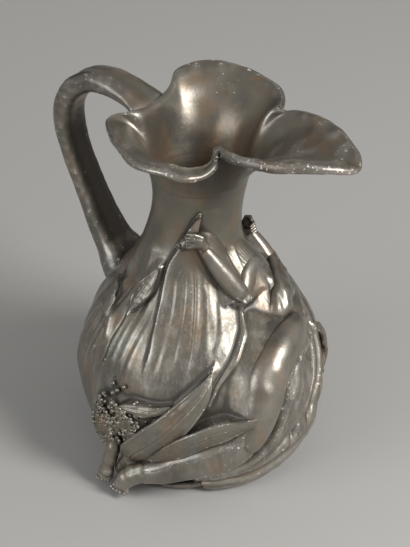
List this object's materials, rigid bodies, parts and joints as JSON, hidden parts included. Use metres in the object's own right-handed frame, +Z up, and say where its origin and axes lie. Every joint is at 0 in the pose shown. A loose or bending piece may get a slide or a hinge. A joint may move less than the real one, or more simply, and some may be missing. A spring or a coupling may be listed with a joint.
{
  "type": "pewter pitcher",
  "caption": "Pewter pitcher: round body, narrow neck, petal-shaped mouth with a long spout, strap handle, and a draped figure with leaves in high relief.",
  "frame": {"origin": "centre of the underside of the base, on the surface that the pitcher stands on", "axes": "+Z up, +X towards the tip of the spout, -X towards the handle, -Y the side with the raised knees and the feet"},
  "size_m": [0.1871, 0.145, 0.2022],
  "materials": {
    "base": "dull grey-brown pewter, plain",
    "body": "dark brown-grey patinated pewter, satin, softly rubbed on the high places",
    "handle": "dark brown-grey patinated pewter, satin, rubbed brighter along the edges",
    "figure": "patinated pewter, satin, warm brown in the rubbed places",
    "foliage": "patinated pewter, satin, dark in the hollows"
  },
  "bodies": {
    "root": {"base_disc": "base", "bulb_near": "body", "bulb_far": "body", "neck": "body", "mouth": "body", "handle": "handle", "thigh": "figure", "shin": "figure", "drape_hem": "figure", "near_foot": "figure", "far_foot": "figure", "near_upper_arm": "figure", "near_forearm": "figure", "near_hand": "figure", "drape_knot": "figure", "figure_torso": "figure", "far_arm": "figure", "far_hand": "figure", "figure_head": "figure", "hair_knot": "figure", "blossoms": "foliage", "leaf_long": "foliage", "leaf_knee": "foliage", "leaf_curled": "foliage", "leaf_hem": "foliage", "leaf_left_upper": "foliage", "leaf_left_lower": "foliage", "leaf_right_upper": "foliage", "leaf_right_lower": "foliage", "leaf_back_upper": "foliage", "leaf_back_lower": "foliage", "drape_tip": "foliage"}
  },
  "joints": []
}
